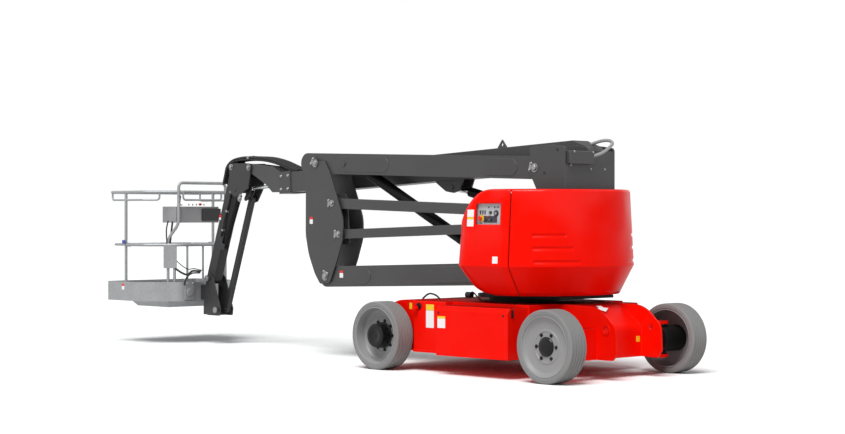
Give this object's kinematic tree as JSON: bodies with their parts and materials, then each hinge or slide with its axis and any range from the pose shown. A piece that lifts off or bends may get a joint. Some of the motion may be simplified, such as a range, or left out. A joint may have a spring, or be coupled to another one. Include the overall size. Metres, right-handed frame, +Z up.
{
  "type": "articulating boom lift",
  "caption": "Electric articulating boom lift on wheels, with a slewing turret, double-parallelogram lift tower, telescopic boom, levelling jib and work basket, stowed.",
  "frame": {"origin": "on the ground under the middle of the stowed machine's overall length and width", "axes": "+X to the front of the chassis (steered wheels), +Y to its left side, +Z up"},
  "size_m": [7.012, 1.75, 2.0271],
  "materials": {
    "black_steel": "satin",
    "cast_weight": "matte",
    "chrome": "polished",
    "control_plastic": "matte",
    "galvanised": "satin",
    "grey_paint": "satin",
    "jib_paint": "satin",
    "red_paint": "gloss",
    "rim_paint": "satin",
    "tyre_rubber": "matte"
  },
  "bodies": {
    "chassis": {"chassis_frame": "red_paint", "battery_box_right": "red_paint", "battery_box_left": "red_paint", "front_axle": "red_paint", "steer_cylinder": "black_steel", "rear_drive": "black_steel", "slew_ring": "black_steel"},
    "steer_right": {"steer_knuckle_right": "black_steel"},
    "steer_left": {"steer_knuckle_left": "black_steel"},
    "tie_rod": {"tie_rod": "chrome"},
    "turret": {"turntable": "black_steel", "turret_frame": "grey_paint", "counterweight": "cast_weight", "tail_hood": "red_paint", "ground_controls": "control_plastic"},
    "cover_right": {"side_cover_right": "red_paint"},
    "cover_left": {"side_cover_left": "red_paint"},
    "lower_arm": {"lower_arm": "grey_paint"},
    "lower_rod": {"lower_rod": "grey_paint"},
    "tower_knuckle": {"tower_knuckle": "grey_paint"},
    "upper_arm": {"upper_arm": "grey_paint"},
    "upper_rod": {"upper_rod": "grey_paint"},
    "tower_head": {"tower_head": "grey_paint"},
    "main_boom": {"main_boom": "grey_paint"},
    "boom_extension": {"boom_extension": "galvanised"},
    "jib_knuckle": {"jib_knuckle": "jib_paint"},
    "jib_beam": {"jib_beam": "jib_paint"},
    "jib_link": {"jib_link": "jib_paint"},
    "basket_mount": {"basket_mount": "jib_paint"},
    "basket": {"rotator": "galvanised", "basket_floor": "galvanised", "basket_rails": "galvanised", "basket_console": "control_plastic"},
    "gate": {"basket_gate": "galvanised"},
    "tower_cylinder_barrel": {"tower_cylinder_barrel": "black_steel"},
    "tower_cylinder_rod": {"tower_cylinder_rod": "chrome"},
    "boom_cylinder_barrel": {"boom_cylinder_barrel": "black_steel"},
    "boom_cylinder_rod": {"boom_cylinder_rod": "chrome"},
    "level_cylinder_barrel": {"level_cylinder_barrel": "black_steel"},
    "level_cylinder_rod": {"level_cylinder_rod": "chrome"},
    "jib_cylinder_barrel": {"jib_cylinder_barrel": "black_steel"},
    "jib_cylinder_rod": {"jib_cylinder_rod": "chrome"},
    "wheel_front_right": {"tyre_front_right": "tyre_rubber", "rim_front_right": "rim_paint"},
    "wheel_front_left": {"tyre_front_left": "tyre_rubber", "rim_front_left": "rim_paint"},
    "wheel_rear_right": {"tyre_rear_right": "tyre_rubber", "rim_rear_right": "rim_paint"},
    "wheel_rear_left": {"tyre_rear_left": "tyre_rubber", "rim_rear_left": "rim_paint"}
  },
  "joints": [
    {"name": "slew", "type": "hinge", "parent": "chassis", "child": "turret", "pos_m": [2.2175, 0, 0.65], "axis": [0, 0, 1], "range_deg": [-177.5, 177.5]},
    {"name": "tower_lift", "type": "hinge", "parent": "turret", "child": "lower_arm", "pos_m": [2.7459, -0.17, 0.86849], "axis": [0, 1, 0], "range_deg": [0, 68]},
    {"name": "lower_rod_pivot", "type": "hinge", "parent": "turret", "child": "lower_rod", "pos_m": [2.9349, -0.245, 1.27349], "axis": [0, 1, 0], "range_deg": [0, 68]},
    {"name": "knuckle_pivot", "type": "hinge", "parent": "lower_arm", "child": "tower_knuckle", "pos_m": [-0.1025, -0.17, 0.773], "axis": [0, 1, 0], "range_deg": [-68, 0]},
    {"name": "upper_arm_pivot", "type": "hinge", "parent": "tower_knuckle", "child": "upper_arm", "pos_m": [-0.2395, -0.17, 1.853], "axis": [0, 1, 0], "range_deg": [-68, 0]},
    {"name": "upper_rod_pivot", "type": "hinge", "parent": "tower_knuckle", "child": "upper_rod", "pos_m": [-0.0045, -0.245, 1.47], "axis": [0, 1, 0], "range_deg": [-68, 0]},
    {"name": "tower_head_pivot", "type": "hinge", "parent": "upper_arm", "child": "tower_head", "pos_m": [2.6089, -0.17, 1.75751], "axis": [0, 1, 0], "range_deg": [0, 68]},
    {"name": "boom_lift", "type": "hinge", "parent": "tower_head", "child": "main_boom", "pos_m": [2.8695, 0.14, 1.88], "axis": [0, 1, 0], "range_deg": [0, 72]},
    {"name": "telescope", "type": "slide", "parent": "main_boom", "child": "boom_extension", "axis": [-0.9988, 0, -0.0487], "range_m": [0, 2.2]},
    {"name": "jib_knuckle_level", "type": "hinge", "parent": "boom_extension", "child": "jib_knuckle", "pos_m": [-1.6865, 0.14, 1.848], "axis": [0, 1, 0], "range_deg": [-72, 0]},
    {"name": "jib_lift", "type": "hinge", "parent": "jib_knuckle", "child": "jib_beam", "pos_m": [-1.9755, 0.14, 1.857], "axis": [0, 1, 0], "range_deg": [0, 120]},
    {"name": "jib_link_pivot", "type": "hinge", "parent": "jib_knuckle", "child": "jib_link", "pos_m": [-1.8315, 0.199, 1.528], "axis": [0, 1, 0], "range_deg": [0, 120]},
    {"name": "basket_level", "type": "hinge", "parent": "jib_beam", "child": "basket_mount", "pos_m": [-2.39384, 0.14, 0.69501], "axis": [0, 1, 0], "range_deg": [-120, 0]},
    {"name": "basket_turn", "type": "hinge", "parent": "basket_mount", "child": "basket", "pos_m": [-2.4825, 0.14, 0.402], "axis": [0, 0, 1], "range_deg": [-59, 66]},
    {"name": "gate_lift", "type": "hinge", "parent": "basket", "child": "gate", "pos_m": [-3.1765, 0.14, 1.045], "axis": [0, 1, 0], "range_deg": [0, 80]},
    {"name": "cover_right_lift", "type": "hinge", "parent": "turret", "child": "cover_right", "pos_m": [2.4675, -0.361, 1.5545], "axis": [-1, 0, 0], "range_deg": [0, 75]},
    {"name": "cover_left_lift", "type": "hinge", "parent": "turret", "child": "cover_left", "pos_m": [2.4675, 0.361, 1.5545], "axis": [1, 0, 0], "range_deg": [0, 75]},
    {"name": "tower_cylinder_pivot", "type": "hinge", "parent": "lower_arm", "child": "tower_cylinder_barrel", "pos_m": [1.83088, -0.125, 1.0029], "axis": [0, 1, 0], "range_deg": [-20.73, 0]},
    {"name": "tower_cylinder_stroke", "type": "slide", "parent": "tower_cylinder_barrel", "child": "tower_cylinder_rod", "axis": [-0.8954, 0, 0.4452], "range_m": [0, 1.39179]},
    {"name": "boom_cylinder_pivot", "type": "hinge", "parent": "tower_head", "child": "boom_cylinder_barrel", "pos_m": [2.6675, 0.14, 1.262], "axis": [0, 1, 0], "range_deg": [0, 61.36]},
    {"name": "boom_cylinder_stroke", "type": "slide", "parent": "boom_cylinder_barrel", "child": "boom_cylinder_rod", "axis": [-0.972, 0, 0.2352], "range_m": [0, 0.68943]},
    {"name": "level_cylinder_pivot", "type": "hinge", "parent": "boom_extension", "child": "level_cylinder_barrel", "pos_m": [-1.0865, 0.14, 1.672], "axis": [0, 1, 0], "range_deg": [0, 9.13]},
    {"name": "level_cylinder_stroke", "type": "slide", "parent": "level_cylinder_barrel", "child": "level_cylinder_rod", "axis": [-0.9986, 0, -0.0522], "range_m": [-0.24735, 0]},
    {"name": "jib_cylinder_pivot", "type": "hinge", "parent": "jib_beam", "child": "jib_cylinder_barrel", "pos_m": [-2.17687, 0.118, 1.02609], "axis": [0, 1, 0], "range_deg": [-3.74, 0]},
    {"name": "jib_cylinder_stroke", "type": "slide", "parent": "jib_cylinder_barrel", "child": "jib_cylinder_rod", "axis": [0.4114, 0, 0.9114], "range_m": [0, 0.4301]},
    {"name": "steer", "type": "hinge", "parent": "chassis", "child": "steer_right", "pos_m": [3.2175, -0.62, 0.3], "axis": [0, 0, 1], "range_deg": [-38, 38]},
    {"name": "steer_left_pivot", "type": "hinge", "parent": "chassis", "child": "steer_left", "pos_m": [3.2175, 0.62, 0.3], "axis": [0, 0, 1], "range_deg": [-38, 38]},
    {"name": "steer_stroke", "type": "slide", "parent": "chassis", "child": "tie_rod", "axis": [0, 1, 0], "range_m": [-0.0866, 0.0866]},
    {"name": "wheel_front_right_spin", "type": "hinge", "parent": "steer_right", "child": "wheel_front_right", "pos_m": [3.2175, -0.78, 0.3], "axis": [0, 1, 0], "continuous": true},
    {"name": "wheel_front_left_spin", "type": "hinge", "parent": "steer_left", "child": "wheel_front_left", "pos_m": [3.2175, 0.78, 0.3], "axis": [0, 1, 0], "continuous": true},
    {"name": "wheel_rear_right_spin", "type": "hinge", "parent": "chassis", "child": "wheel_rear_right", "pos_m": [1.2175, -0.78, 0.3], "axis": [0, 1, 0], "continuous": true},
    {"name": "wheel_rear_left_spin", "type": "hinge", "parent": "chassis", "child": "wheel_rear_left", "pos_m": [1.2175, 0.78, 0.3], "axis": [0, 1, 0], "continuous": true}
  ],
  "couplings": [
    {"joint": "lower_rod_pivot", "follows": "tower_lift", "ratio": 1},
    {"joint": "knuckle_pivot", "follows": "tower_lift", "ratio": -1},
    {"joint": "upper_arm_pivot", "follows": "tower_lift", "ratio": -1},
    {"joint": "upper_rod_pivot", "follows": "tower_lift", "ratio": -1},
    {"joint": "tower_head_pivot", "follows": "tower_lift", "ratio": 1},
    {"joint": "jib_knuckle_level", "follows": "boom_lift", "ratio": -1},
    {"joint": "jib_link_pivot", "follows": "jib_lift", "ratio": 1},
    {"joint": "basket_level", "follows": "jib_lift", "ratio": -1},
    {"joint": "tower_cylinder_pivot", "follows": "tower_lift", "ratio": -0.30478},
    {"joint": "tower_cylinder_stroke", "follows": "tower_lift", "m_per_rad": 1.1723},
    {"joint": "boom_cylinder_pivot", "follows": "boom_lift", "ratio": 0.85203},
    {"joint": "boom_cylinder_stroke", "follows": "boom_lift", "m_per_rad": 0.54823},
    {"joint": "level_cylinder_pivot", "follows": "boom_lift", "ratio": 0.12673},
    {"joint": "level_cylinder_stroke", "follows": "boom_lift", "m_per_rad": -0.19643},
    {"joint": "jib_cylinder_pivot", "follows": "jib_lift", "ratio": -0.031047},
    {"joint": "jib_cylinder_stroke", "follows": "jib_lift", "m_per_rad": 0.20512},
    {"joint": "steer_left_pivot", "follows": "steer", "ratio": 1},
    {"joint": "steer_stroke", "follows": "steer", "m_per_rad": -0.12996}
  ]
}
